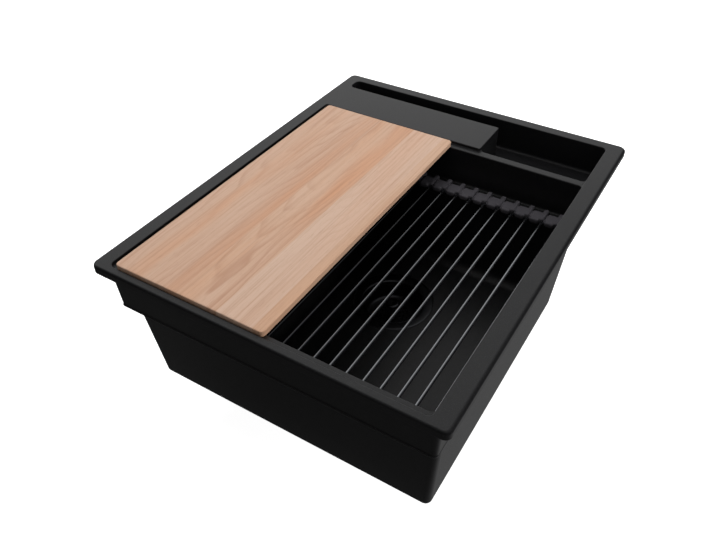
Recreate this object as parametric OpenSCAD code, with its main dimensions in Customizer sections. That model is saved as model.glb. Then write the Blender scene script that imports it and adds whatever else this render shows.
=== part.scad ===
// Workstation kitchen sink: a drop-in composite bowl with a tap deck, an accessory trough,
// a sliding cutting board, a roll-up drying rack and a basket strainer drain with overflow.
// Millimetres, +Z up, front edge towards -Y. The origin is the middle of the rim's underside,
// which is the level of the worktop that the sink is dropped into.

/* [Rim, front to back] */
// Flat land between the front edge and the board ledge
front_land = 10; // [8:0.5:16]
// Width of the ledge that carries the front of the board
board_ledge_w = 8.2; // [6:0.1:12]
// Bowl opening, front to back
bowl_run = 423.4; // [380:0.1:440]
// Ledge on the divider, in front of the tap deck
back_ledge_w = 10.6; // [10:0.1:16]
// Depth of the tap deck, front to back
tap_deck_d = 68.6; // [60:0.1:80]
// Width of the slot behind the tap deck
slot_w = 22.9; // [16:0.1:30]
// Land behind the slot
back_land = 16.3; // [12:0.1:22]

/* [Rim, left to right] */
// Land left of the bowl
left_land = 18.9; // [16:0.1:26]
// Bowl opening, left to right
bowl_w = 401.6; // [380:0.1:440]
// Land right of the bowl
right_land = 23.5; // [20:0.1:30]
// Width of the tap deck
tap_deck_w = 252.8; // [220:0.1:300]

/* [Rim, heights] */
// Thickness of the rim, deck to worktop
rim_t = 11; // [9:0.5:14]
// Radius of the rim's corners
rim_corner_r = 8; // [4:0.5:20]
// Softened top edge of the rim
rim_edge = 2.5; // [0.5:0.1:3]
// Drop from the deck to the board ledges
board_ledge_drop = 4; // [2:0.1:6]
// Width of the divider between the bowl and the tray
divider_w = 12.4; // [11:0.1:18]
// Depth of the tray and the slot below the deck
trough_depth = 45; // [30:1:60]

/* [Bowl] */
// Depth of the bowl below the deck
bowl_depth = 170; // [150:1:200]
// Depth of the rack ledge below the deck
rack_ledge_depth = 55.5; // [48:0.5:62]
// Width of the rack ledge at the left
rack_ledge_left = 21.6; // [12:0.1:26]
// Width of the rack ledge at the front
rack_ledge_front = 6.5; // [5:0.1:12]
// Width of the rack ledge at the back
rack_ledge_back = 31.6; // [24:0.1:36]
// How far the upper walls lean in by the rack ledge
upper_lean = 2.5; // [1:0.1:4]
// How far the lower walls lean in by the floor
lower_lean = 8.1; // [4:0.1:12]
// How far the lower front wall leans in by the floor
front_lean = 9.8; // [6:0.1:14]
// Radius of the upper cavity's corners
upper_corner_r = 6; // [4:0.5:12]
// Radius of the lower cavity's corners
lower_corner_r = 14; // [8:0.5:24]
// Radius between the floor and the walls
floor_fillet_r = 14; // [8:1:24]
// Thickness of the floor
floor_t = 8; // [7:0.1:10]
// Thickness of the left and back walls
wall_t = 7.5; // [6:0.1:8.5]
// Thickness of the front wall
front_wall_t = 8.2; // [7:0.1:9]
// Thickness of the right wall
right_wall_t = 11; // [8:0.1:12]

/* [Holes in the casting] */
// Radius of the tap hole, drilled from below up to a thin skin
tap_hole_r = 17.5; // [16:0.5:19]
// Skin left above the tap hole, which the fitter breaks out
tap_skin = 2.5; // [1.5:0.1:4]
// Tap hole from the left edge of the tap deck
tap_x = 126; // [80:1:180]
// Drain hole from the left edge of the bowl opening
drain_dx = 215; // [160:1:240]
// Drain hole from the front edge of the bowl opening
drain_dy = 266; // [180:1:290]
// Radius of the drain hole
drain_hole_r = 45; // [44:0.5:46]
// Radius of the overflow hole
overflow_hole_r = 16; // [14:0.5:18]
// Overflow from the left edge of the bowl opening
overflow_dx = 101; // [70:1:150]
// Overflow flange below the underside of the rack ledge
overflow_gap = 4; // [2:0.5:12]

/* [Cutting board] */
// Width of the board
board_w = 204.8; // [160:0.1:260]
// Thickness of the board
board_t = 8; // [6:0.5:14]
// Radius of the board's corners
board_corner_r = 5; // [3:0.5:14]
// Softened top edge of the board
board_edge = 1.2; // [0.5:0.1:2.5]
// Board from the left edge of the bowl opening, at rest
board_dx = 8.3; // [2:0.1:60]
// Play between the board and the front land
board_play_front = 1.5; // [1:0.1:3]
// Play between the board and the tap deck
board_play_back = 6.2; // [2:0.1:7]

/* [Drying rack] */
// Distance between rods
rod_pitch = 20.4; // [16:0.1:20.8]
// Radius of a rod
rod_r = 2; // [1.5:0.1:3]
// Height of the soft strips
strip_h = 8.5; // [7:0.1:11]
// Solid width of a strip, across the rods' ends
strip_w = 17; // [14:0.1:22]
// Noses between the rods, on the strip's inner side
nose_l = 4; // [2:0.1:6]
// Tabs on the outer side of the front strip
front_tab_l = 5.5; // [4:0.1:10]
// Tabs on the outer side of the back strip
back_tab_l = 8.9; // [4:0.1:10]
// Width of a nose
nose_w = 12.5; // [8:0.1:14]
// Width of a tab
tab_w = 7.2; // [5:0.1:10]
// Tabs sit this far left of the rods
tab_shift = 1.7; // [0:0.1:4]
// Rack from the right wall, at the ledge
rack_play_right = 0.6; // [0.5:0.1:2]
// Rack from the front wall, at the ledge
rack_play_front = 0.9; // [0.5:0.1:3]
// Rack from the back wall, at the ledge
rack_play_back = 7.6; // [3:0.1:10]

/* [Drain] */
// Radius of the steel flange in the floor
flange_r = 56; // [55:0.5:60]
// Thickness of the steel of flange and cup
steel_t = 1.2; // [1:0.1:1.5]
// Depth of the steel cup
cup_depth = 38; // [36:1:42]
// Thickness of the gasket under the flange
flange_gasket_t = 1.3; // [1:0.1:2]
// Thickness of the gasket under the floor
body_gasket_t = 3; // [2:0.1:4]
// Outer radius of the waste outlet's thread
outlet_r = 23.9; // [20:0.1:24]
// Bore radius of the waste outlet
outlet_bore_r = 20.5; // [16:0.1:20.8]
// Length of the threaded outlet
outlet_l = 29; // [20:1:40]
// Wall of the plastic drain body
plastic_t = 3; // [2:0.1:3.5]
// Radius of the clamp screw
screw_r = 3; // [2.5:0.1:3.2]

/* [Basket] */
// Depth of the strainer basket
basket_depth = 22; // [18:0.5:24]
// Radial play between the basket and the cup
basket_play = 0.9; // [0.5:0.1:1.5]
// Radius of the knob
knob_r = 10; // [7:0.5:14]
// Radius of the basket's holes
sieve_r = 1.6; // [1:0.1:2]

/* [Overflow] */
// Radius of the overflow cover
cover_r = 24; // [22:0.5:25]
// How far the cover stands off the wall
cover_h = 5; // [4:0.1:6.5]
// Bore radius of the hose
hose_bore_r = 10.4; // [9:0.1:11]
// Rib height of the hose
rib_h = 1.6; // [0.8:0.1:2]
// Distance between ribs
rib_pitch = 4; // [3:0.1:6]
// Wall of the hose
hose_wall = 1.2; // [1:0.1:1.4]

/* [Hidden] */
$fn = 64;
hull_fn = 32;
slice = 0.01;   // height of the thin layers that a hull joins
over = 1;       // how far a cut runs past a face
seat_gap = 0.2; // between a lift-off piece and what it rests on

// Places below are from the rim's front left corner and from the deck, X right, Y back
rim_w = left_land + bowl_w + right_land;
bowl_x0 = left_land;
bowl_x1 = left_land + bowl_w;
bowl_y0 = front_land + board_ledge_w;
bowl_y1 = bowl_y0 + bowl_run;
tray_y0 = bowl_y1 + divider_w;
deck_x1 = bowl_x0 + tap_deck_w;
deck_y0 = bowl_y1 + back_ledge_w;
deck_y1 = deck_y0 + tap_deck_d;
slot_y1 = deck_y1 + slot_w;
rim_d = slot_y1 + back_land;

// Rack ledge: the four edges of the upper cavity there, and of the lower cavity
ledge_z = -rack_ledge_depth;
ledge_out = [bowl_x0 + upper_lean, bowl_y0 + upper_lean, bowl_x1 - upper_lean, bowl_y1 - upper_lean];
ledge_in = [ledge_out[0] + rack_ledge_left, ledge_out[1] + rack_ledge_front,
            ledge_out[2], ledge_out[3] - rack_ledge_back];
floor_z = -bowl_depth;
base_z = floor_z - floor_t;
step_z = ledge_z - floor_t;
lean = [lower_lean, front_lean, -lower_lean, -lower_lean];
walls = [-wall_t, -front_wall_t, right_wall_t, wall_t];
inwards = [1, 1, -1, -1];
// The lower cavity's four edges at height z
function lower(z) = ledge_in + lean * (ledge_z - z) / (ledge_z - floor_z);
trough_z = -trough_depth;
trough_corner_r = 7;
outer_corner_r = 8;
base_fillet_r = 4;

// Drain, from the bowl's floor at its axis
drain_x = bowl_x0 + drain_dx;
drain_y = bowl_y0 + drain_dy;
cup_r = drain_hole_r - 2.5;
cup_inner_r = cup_r - steel_t;
recess_depth = steel_t + flange_gasket_t;
cup_floor = -cup_depth;
drain_bore_r = cup_r + 1.5;
drain_body_r = drain_bore_r + plastic_t;
drain_top = -floor_t - body_gasket_t;
drain_flange_t = 4;
drain_side = 34;                               // straight side below its flange
drain_cone = 21;                               // height of the cone to the outlet
cone_top = drain_top - drain_side;
cone_bottom = cone_top - drain_cone;
outlet_end = cone_bottom - outlet_l;
hub_r = 8;
hub_top = cup_floor - steel_t - 6.8;
hub_bottom = hub_top - 16;
insert_r = 5;
head_r = 6.5;
head_h = 4;
shank_in = 1;                                  // a screw's shank runs this far into its head
screw_end = hub_bottom + 2;
gasket_r = flange_r - 1;
gasket_in_r = drain_hole_r + 1;

// Basket, from the bowl's floor at the drain's axis
basket_top = -4;
basket_r = cup_inner_r - basket_play;
basket_foot_r = basket_r - 2;
basket_floor = basket_top - basket_depth;
basket_steel = 0.9;
skirt_r = 25;
skirt_end = cup_floor + 1.5;
seal_r = 33;
seal_h = 4.4;
clip_bore_r = head_r + 0.3;
clip_wall = 1.4;
post_r = 3;
knob_h = 8;
knob_top = -3;

// Overflow: its axis stands square to the leaning back wall, from the wall's outer face
lean_angle = atan(lower_lean / (ledge_z - floor_z));
housing_flange_r = 28;
overflow_x = bowl_x0 + overflow_dx;
overflow_z = step_z - housing_flange_r - overflow_gap;
overflow_y = lower(overflow_z)[3] + wall_t;
wall_across = wall_t * cos(lean_angle);
overflow_screw_r = 2.5;
overflow_head_r = 4.5;
overflow_head_h = 2.5;
cover_t = 1.2;
housing_gasket_t = 2.5;
housing_flange_t = 3.5;
housing_r = 20;
housing_t = 2.5;
hub_small_r = 5;

// Hose ends: a plain cuff slides over a spigot up to a shoulder
spigot_r = hose_bore_r * cos(180 / 12) - 0.2;
spigot_bore_r = spigot_r - 2;
spigot_l = 14;
shoulder_h = 2;
cuff_l = 15;
cuff_r = hose_bore_r + hose_wall + rib_h / 2;
rib_r = hose_bore_r + hose_wall + rib_h;
collar_r = cuff_r + 0.1;
collar_t = 2;
collar_w = 8;
collar_in = 3;                                 // collar from the shoulder
inlet_z = drain_top - 21;
inlet_reach = drain_body_r + 13;               // shoulder's face from the drain's axis
housing_flange_end = housing_gasket_t + housing_flange_t;
spigot_y = housing_flange_end + collar_r + collar_t + 0.5;
housing_end = spigot_y + spigot_r + housing_t;
overflow_screw_end = housing_end - 8;

// Hose route: straight, a curve with two handles, straight
hose_sides = 12;
hose_straight = 2 * rib_r;
hose_handle = 62;
hose_gap = 0.3;                                // from the cuff to the shoulder
function leaned(y, z) = [0, y * cos(lean_angle) + z * sin(lean_angle),
                         z * cos(lean_angle) - y * sin(lean_angle)];
shoulder_z = -housing_r - shoulder_h;
hose_start = [overflow_x, overflow_y, overflow_z] + leaned(spigot_y, shoulder_z - hose_gap);
start_dir = leaned(0, -1);
hose_end = [drain_x, drain_y + inlet_reach + hose_gap, floor_z + inlet_z];
end_dir = [0, -1, 0];
c0 = hose_start + hose_straight * start_dir;
c1 = c0 + hose_handle * start_dir;
c3 = hose_end - hose_straight * end_dir;
c2 = c3 - hose_handle * end_dir;
curve_steps = 24;
function curve(t) = pow(1 - t, 3) * c0 + 3 * pow(1 - t, 2) * t * c1
                  + 3 * (1 - t) * t * t * c2 + pow(t, 3) * c3;
function slope(t) = 3 * pow(1 - t, 2) * (c1 - c0) + 6 * (1 - t) * t * (c2 - c1)
                  + 3 * t * t * (c3 - c2);
function total(list, i = 0) = i < len(list) ? list[i] + total(list, i + 1) : 0;
curve_l = total([for (i = [1:curve_steps]) norm(curve(i / curve_steps) - curve((i - 1) / curve_steps))]);
hose_l = curve_l + 2 * hose_straight;
function on_curve(s) = (s - hose_straight) / curve_l;
function route(s) = s <= hose_straight ? hose_start + s * start_dir
                  : s >= hose_l - hose_straight ? hose_end - (hose_l - s) * end_dir
                  : curve(on_curve(s));
function heading(s) = s <= hose_straight ? start_dir
                    : s >= hose_l - hose_straight ? end_dir
                    : slope(on_curve(s)) / norm(slope(on_curve(s)));
function across(s) = cross(heading(s), [1, 0, 0]) / norm(cross(heading(s), [1, 0, 0]));
function hose_ring(s, r) = [for (i = [0:hose_sides - 1])
    route(s) + r * cos(360 * i / hose_sides) * across(s)
             + r * sin(360 * i / hose_sides) * cross(heading(s), across(s))];

// ---------------------------------------------------------------- shared shapes

// Moves from the rim's front left corner and the deck to the model's origin
module in_frame() {
    translate([-rim_w / 2, -rim_d / 2, rim_t])
    children();
}

module at_drain() {
    in_frame()
    translate([drain_x, drain_y, floor_z])
    children();
}

// Y runs out of the bowl along the overflow's axis
module at_overflow() {
    in_frame()
    translate([overflow_x, overflow_y, overflow_z])
    rotate([-lean_angle, 0, 0])
    children();
}

// Rounded rectangle between two corners, e = [x0, y0, x1, y1]
module rounded(e, r) {
    translate([e[0] + r, e[1]])
    square([e[2] - e[0] - 2 * r, e[3] - e[1]]);
    translate([e[0], e[1] + r])
    square([e[2] - e[0], e[3] - e[1] - 2 * r]);
    for (x = [e[0] + r, e[2] - r], y = [e[1] + r, e[3] - r])
        translate([x, y])
        circle(r);
}

// The same, raised from z0 to z1
module slab(e, r, z0, z1) {
    translate([0, 0, z0])
    linear_extrude(z1 - z0)
    rounded(e, r);
}

// Leaning walls: rectangle a at height za joined to rectangle b at height zb
module tapered(a, za, b, zb, r) {
    hull() {
        slab(a, r, za - slice, za, $fn = hull_fn);
        slab(b, r, zb, zb + slice, $fn = hull_fn);
    }
}

// The lower cavity grown by edges, from za to zb, with its lower edge rounded by f
module lower_bowl(grow, za, zb, r, f) {
    hull() {
        slab(lower(za) + grow, r, za - slice, za, $fn = hull_fn);
        for (turn = [0, 30, 60, 90])
            let (z = zb + f * (1 - sin(turn)))
            slab(lower(z) + grow + f * (1 - cos(turn)) * inwards, r, z, z + slice, $fn = hull_fn);
    }
}

module ring(r_out, r_in, z0, z1) {
    translate([0, 0, z0])
    difference() {
        cylinder(z1 - z0, r = r_out);
        translate([0, 0, -over])
        cylinder(z1 - z0 + 2 * over, r = r_in);
    }
}

module disc(r, z0, z1) {
    translate([0, 0, z0])
    cylinder(z1 - z0, r = r);
}

// ---------------------------------------------------------------- casting

module casting_outside() {
    upper_out = [bowl_x0 - wall_t, bowl_y0 - front_wall_t, bowl_x1 + right_wall_t, bowl_y1 + wall_t];
    trough_out = [upper_out[0], bowl_y1 - upper_lean, upper_out[2], slot_y1 + wall_t];
    // Rim with its softened top edge
    hull() {
        slab([0, 0, rim_w, rim_d], rim_corner_r, -rim_t, -rim_edge, $fn = hull_fn);
        slab([rim_edge, rim_edge, rim_w - rim_edge, rim_d - rim_edge], rim_corner_r - rim_edge / 2,
             -slice, 0, $fn = hull_fn);
    }
    // Upper walls
    tapered(upper_out, -rim_t + over, upper_out + upper_lean * inwards, step_z, outer_corner_r);
    // Lower walls and floor
    lower_bowl(walls, step_z + over, base_z, outer_corner_r, base_fillet_r);
    // Trough
    tapered(trough_out, -rim_t + over, trough_out + upper_lean * [1, 0, -1, -1], trough_z - wall_t,
            outer_corner_r);
}

module casting_cavities() {
    // Ledge for the board at the front, and the lower top of the divider at the back
    slab([bowl_x0, front_land, bowl_x1, bowl_y0 + over + upper_corner_r], 2, -board_ledge_drop, over);
    slab([bowl_x0, bowl_y1 - over - upper_corner_r, bowl_x1, deck_y0], 2, -board_ledge_drop, over);
    translate([deck_x1, bowl_y1 - over, -board_ledge_drop])
    cube([bowl_x1 - deck_x1, divider_w + 2 * over, board_ledge_drop + over]);
    // Bowl above and below the rack ledge
    tapered([bowl_x0, bowl_y0, bowl_x1, bowl_y1], over, ledge_out, ledge_z, upper_corner_r);
    lower_bowl(0 * walls, ledge_z + over, floor_z, lower_corner_r, floor_fillet_r);
    // Tray and slot behind the bowl
    slab([deck_x1, tray_y0, bowl_x1, slot_y1], trough_corner_r, trough_z, over);
    slab([bowl_x0, deck_y1, deck_x1 + 2 * trough_corner_r, slot_y1], trough_corner_r, trough_z, over);
    // Hollow under the tap deck, open downwards
    slab([bowl_x0, bowl_y1 + wall_t, deck_x1 - wall_t, deck_y1 - wall_t], trough_corner_r,
         base_z, -rim_t);
}

module casting_holes() {
    translate([bowl_x0 + tap_x, (deck_y0 + deck_y1) / 2, -rim_t - over])
    cylinder(rim_t - tap_skin + over, r = tap_hole_r);
}

module sink_body() {
    color("#26272a")
    difference() {
        in_frame()
        difference() {
            casting_outside();
            casting_cavities();
            casting_holes();
        }
        at_drain()
        union() {
            disc(drain_hole_r, -floor_t - over, over);
            disc(flange_r + 1, -recess_depth, over);
        }
        at_overflow()
        rotate([90, 0, 0])
        translate([0, 0, -over])
        cylinder(wall_across + 2 * over, r = overflow_hole_r);
    }
}

// ---------------------------------------------------------------- board and rack

module cutting_board() {
    e = [bowl_x0 + board_dx, front_land + board_play_front,
         bowl_x0 + board_dx + board_w, deck_y0 - board_play_back];
    z0 = -board_ledge_drop + seat_gap;
    color("#c8a38a")
    in_frame()
    hull() {
        slab(e, board_corner_r, z0, z0 + board_t - board_edge, $fn = hull_fn);
        slab(e + board_edge * inwards, board_corner_r - board_edge, z0 + board_t - slice,
             z0 + board_t, $fn = hull_fn);
    }
}

rack_x1 = ledge_out[2] - rack_play_right;
rod_x1 = rack_x1 - rod_pitch / 2;
rod_count = floor((rack_x1 - ledge_out[0]) / rod_pitch);
strip_z = ledge_z + seat_gap;
rod_z = strip_z + strip_h / 2;
rack_y0 = ledge_out[1] + rack_play_front;
rack_y1 = ledge_out[3] - rack_play_back;
rod_in = 3;                                    // solid strip behind a rod's end
rod_y0 = rack_y0 + front_tab_l + rod_in;
rod_y1 = rack_y1 - back_tab_l - rod_in;
rod_fit = 0.05;

module rack_rods() {
    color("#8d9094")
    in_frame()
    for (i = [0:rod_count - 1])
        translate([rod_x1 - i * rod_pitch, rod_y0, rod_z])
        rotate([-90, 0, 0])
        cylinder(rod_y1 - rod_y0, r = rod_r);
}

// A soft strip, drawn with its outer edge at y = 0 and the bowl towards +Y
module strip(tab_l) {
    x0 = rod_x1 - (rod_count - 0.5) * rod_pitch;
    band = [x0, tab_l, rack_x1, tab_l + strip_w];
    difference() {
        union() {
            slab(band, 1.5, strip_z, strip_z + strip_h);
            for (i = [0:rod_count - 2])
                let (mid = rod_x1 - (i + 0.5) * rod_pitch)
                slab([mid - nose_w / 2, tab_l + 2, mid + nose_w / 2, tab_l + strip_w + nose_l], 1.5,
                     strip_z, strip_z + strip_h);
            for (i = [0:rod_count - 1])
                let (mid = rod_x1 - i * rod_pitch - tab_shift)
                slab([mid - tab_w / 2, 0, mid + tab_w / 2, tab_l + rod_in], 2, strip_z, strip_z + strip_h);
        }
        for (i = [0:rod_count - 1])
            translate([rod_x1 - i * rod_pitch, tab_l + rod_in - rod_fit, rod_z])
            rotate([-90, 0, 0])
            cylinder(strip_w + nose_l + over, r = rod_r + rod_fit);
    }
}

module rack_front_strip() {
    color("#4a474c")
    in_frame()
    translate([0, rack_y0, 0])
    strip(front_tab_l);
}

module rack_back_strip() {
    color("#4a474c")
    in_frame()
    translate([0, rack_y1, 0])
    mirror([0, 1, 0])
    strip(back_tab_l);
}

// ---------------------------------------------------------------- drain

module drain_flange() {
    hole_r = 7.5;
    hole_at = 17;
    holes = 6;
    color("#4a4b4e")
    at_drain()
    difference() {
        union() {
            disc(flange_r, -steel_t, 0);
            disc(cup_r, cup_floor - steel_t, 0);
        }
        disc(cup_inner_r, cup_floor, over);
        disc(screw_r + 0.2, cup_floor - steel_t - over, over);
        for (i = [0:holes - 1])
            rotate(360 / holes * i)
            translate([hole_at, 0, 0])
            disc(hole_r, cup_floor - steel_t - over, over);
    }
}

module flange_gasket() {
    color("#33363a")
    at_drain()
    ring(gasket_r, gasket_in_r, -recess_depth, -steel_t);
}

module body_gasket() {
    color("#33363a")
    at_drain()
    ring(gasket_r, gasket_in_r, drain_top, -floor_t);
}

module drain_body() {
    hub_rib_t = 3;
    shoulder_back = inlet_reach - drain_body_r + 2;
    color("#3a3d42")
    at_drain()
    difference() {
        union() {
            rotate_extrude()
            polygon([[0, drain_top], [flange_r, drain_top], [flange_r, drain_top - drain_flange_t],
                     [drain_body_r, drain_top - drain_flange_t], [drain_body_r, cone_top],
                     [outlet_r, cone_bottom], [outlet_r, outlet_end], [0, outlet_end]]);
            // Overflow inlet with its shoulder
            translate([0, inlet_reach, inlet_z])
            rotate([-90, 0, 0]) {
                disc(rib_r, -shoulder_h, 0);
                disc(spigot_r, -shoulder_back, spigot_l);
            }
        }
        // Waste passage around the screw's hub, which three ribs hold
        difference() {
            rotate_extrude()
            polygon([[0, drain_top + over], [drain_bore_r, drain_top + over], [drain_bore_r, cone_top],
                     [outlet_bore_r, cone_bottom], [outlet_bore_r, outlet_end - over],
                     [0, outlet_end - over]]);
            disc(hub_r, hub_bottom, hub_top);
            for (i = [0:2])
                rotate(90 + 120 * i)
                translate([0, -hub_rib_t / 2, hub_bottom])
                cube([drain_body_r, hub_rib_t, hub_top - hub_bottom - 2]);
        }
        disc(insert_r, hub_bottom - over, hub_top + over);
        translate([0, inlet_reach, inlet_z])
        rotate([-90, 0, 0])
        disc(spigot_bore_r, -inlet_reach + drain_bore_r - over, spigot_l + over);
    }
}

module clamp_screw() {
    driver_slot = 1.6;
    color("#b9bcc0")
    at_drain()
    difference() {
        union() {
            disc(head_r, cup_floor, cup_floor + head_h);
            disc(screw_r, screw_end, cup_floor + shank_in);
        }
        translate([-head_r, -driver_slot / 2, cup_floor + head_h - driver_slot])
        cube([2 * head_r, driver_slot, 2 * driver_slot]);
    }
}

module screw_insert() {
    color("#b08d4a")
    at_drain()
    ring(insert_r, screw_r, hub_bottom, hub_top);
}

// ---------------------------------------------------------------- basket

module basket_cup() {
    rings = 3;
    color("#4a4b4e")
    at_drain()
    difference() {
        union() {
            rotate_extrude()
            polygon([[0, basket_floor - basket_steel], [basket_foot_r, basket_floor - basket_steel],
                     [basket_r - 1.5, basket_top - 1.5], [basket_r, basket_top - 1.5],
                     [basket_r, basket_top], [basket_r - 1.5 - basket_steel, basket_top],
                     [basket_foot_r - basket_steel, basket_floor], [0, basket_floor]]);
            disc(skirt_r, skirt_end, basket_floor);
        }
        disc(skirt_r - basket_steel, skirt_end - over, basket_floor - basket_steel);
        disc(post_r, skirt_end - over, over);
        for (k = [1:rings], i = [0:8 * k - 1])
            rotate(360 / (8 * k) * i)
            translate([skirt_r * (0.22 + 0.22 * k), 0, 0])
            disc(sieve_r, basket_floor - basket_steel - over, basket_floor + over);
    }
}

module basket_seal() {
    color("#2d2f33")
    at_drain()
    ring(seal_r, skirt_r, cup_floor + seat_gap, cup_floor + seat_gap + seal_h);
}

module basket_clip() {
    color("#d8d9dc")
    at_drain()
    difference() {
        disc(clip_bore_r + clip_wall, skirt_end, basket_floor - basket_steel);
        disc(clip_bore_r, skirt_end - over, basket_floor - basket_steel - clip_wall);
        disc(post_r, skirt_end, over);
        // Slots that let the clip spring over the screw's head
        for (turn = [0, 90])
            rotate(turn)
            translate([-clip_bore_r - 2 * clip_wall, -1, skirt_end - over])
            cube([2 * clip_bore_r + 4 * clip_wall, 2, over + 5]);
    }
}

module basket_knob() {
    color("#4a4b4e")
    at_drain()
    union() {
        disc(post_r, basket_floor - basket_steel - clip_wall, knob_top - knob_h + 1);
        rotate_extrude()
        difference() {
            polygon([[0, knob_top - knob_h], [knob_r - 3, knob_top - knob_h], [knob_r, knob_top - 3],
                     [knob_r - 1, knob_top - 1], [knob_r - 3, knob_top], [0, knob_top]]);
            translate([0, knob_top + 5.2])
            circle(6);
        }
    }
}

// ---------------------------------------------------------------- overflow

module overflow_cover() {
    slots = 4;
    slot_l = 18;
    color("#4a4b4e")
    at_overflow()
    rotate([90, 0, 0])
    translate([0, 0, wall_across])
    difference() {
        disc(cover_r, 0, cover_h);
        disc(cover_r - cover_t, -over, cover_h - cover_t);
        disc(overflow_screw_r + 0.1, 0, cover_h + over);
        for (i = [0:slots - 1])
            rotate(360 / slots * (i + 0.5))
            translate([0, -slot_l / 2, -over])
            cube([cover_r + over, slot_l, cover_h - cover_t + over - 0.5]);
    }
}

module overflow_screw() {
    head_z = wall_across + cover_h;
    color("#b9bcc0")
    at_overflow()
    rotate([90, 0, 0])
    difference() {
        union() {
            disc(overflow_head_r, head_z, head_z + overflow_head_h);
            disc(overflow_screw_r, -overflow_screw_end, head_z + shank_in);
        }
        translate([-overflow_head_r, -0.6, head_z + overflow_head_h - 1])
        cube([2 * overflow_head_r, 1.2, 2 * over]);
    }
}

module overflow_gasket() {
    color("#33363a")
    at_overflow()
    rotate([90, 0, 0])
    ring(housing_flange_r - 2, overflow_hole_r + 1, -housing_gasket_t, 0);
}

module overflow_housing() {
    color("#3a3d42")
    at_overflow()
    difference() {
        union() {
            rotate([90, 0, 0]) {
                disc(housing_flange_r, -housing_flange_end, -housing_gasket_t);
                disc(housing_r, -housing_end, -housing_gasket_t);
            }
            translate([0, spigot_y, 0]) {
                disc(rib_r, shoulder_z, -housing_r / 2);
                disc(spigot_r, shoulder_z - spigot_l, shoulder_z);
            }
        }
        // Inside of the housing around the screw's hub
        difference() {
            rotate([90, 0, 0])
            disc(housing_r - housing_t, -housing_end + housing_t, over);
            rotate([90, 0, 0])
            disc(hub_small_r, -housing_end, -housing_flange_end);
        }
        rotate([90, 0, 0])
        disc(overflow_screw_r, -overflow_screw_end, over);
        // Way down into the hose, clear of the hub
        translate([0, spigot_y, 0])
        disc(spigot_bore_r, shoulder_z - spigot_l - over, -housing_r / 2 - 1);
    }
}

module overflow_hose() {
    ribs = floor((hose_l - 2 * cuff_l) / rib_pitch);
    rib_step = (hose_l - 2 * cuff_l) / ribs;
    bore_rings = 30;
    outer = concat(
        [[0, cuff_r], [cuff_l, cuff_r]],
        [for (i = [0:ribs - 1], k = [0, 1])
            [cuff_l + (i + 0.25 + k / 2) * rib_step, k == 0 ? rib_r : rib_r - rib_h]],
        [[hose_l - cuff_l, cuff_r], [hose_l, cuff_r]]);
    inner = [for (i = [0:bore_rings]) [hose_l * i / bore_rings, hose_bore_r]];
    points = concat([for (o = outer) each hose_ring(o[0], o[1])],
                    [for (o = inner) each hose_ring(o[0], o[1])]);
    n = hose_sides;
    base = len(outer) * n;
    last_out = base - n;
    last_in = base + (len(inner) - 1) * n;
    faces = concat(
        [for (j = [0:len(outer) - 2], i = [0:n - 1], half = [0, 1])
            let (a = j * n + i, b = j * n + (i + 1) % n)
            half == 0 ? [a, b, a + n] : [b, b + n, a + n]],
        [for (j = [0:len(inner) - 2], i = [0:n - 1], half = [0, 1])
            let (a = base + j * n + i, b = base + j * n + (i + 1) % n)
            half == 0 ? [a, a + n, b] : [b, a + n, b + n]],
        [for (i = [0:n - 1], half = [0, 1])
            let (j = (i + 1) % n)
            half == 0 ? [i, base + i, j] : [j, base + i, base + j]],
        [for (i = [0:n - 1], half = [0, 1])
            let (j = (i + 1) % n)
            half == 0 ? [last_out + i, last_out + j, last_in + i]
                      : [last_out + j, last_in + j, last_in + i]]);
    color("#8f9398")
    in_frame()
    polyhedron(points, faces);
}

module hose_collars() {
    collar_from = hose_gap + collar_in;
    color("#2d2f33") {
        at_overflow()
        translate([0, spigot_y, shoulder_z])
        ring(collar_r + collar_t, collar_r, -collar_from - collar_w, -collar_from);
        at_drain()
        translate([0, inlet_reach, inlet_z])
        rotate([-90, 0, 0])
        ring(collar_r + collar_t, collar_r, collar_from, collar_from + collar_w);
    }
}

sink_body();
cutting_board();
rack_rods();
rack_front_strip();
rack_back_strip();
drain_flange();
flange_gasket();
drain_body();
body_gasket();
clamp_screw();
screw_insert();
basket_cup();
basket_seal();
basket_clip();
basket_knob();
overflow_cover();
overflow_screw();
overflow_gasket();
overflow_housing();
overflow_hose();
hose_collars();
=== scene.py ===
"""Looks of the workstation kitchen sink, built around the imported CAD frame."""
import math
from bisect import bisect_left

import bmesh
import bpy
from mathutils import Matrix, Vector

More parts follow.
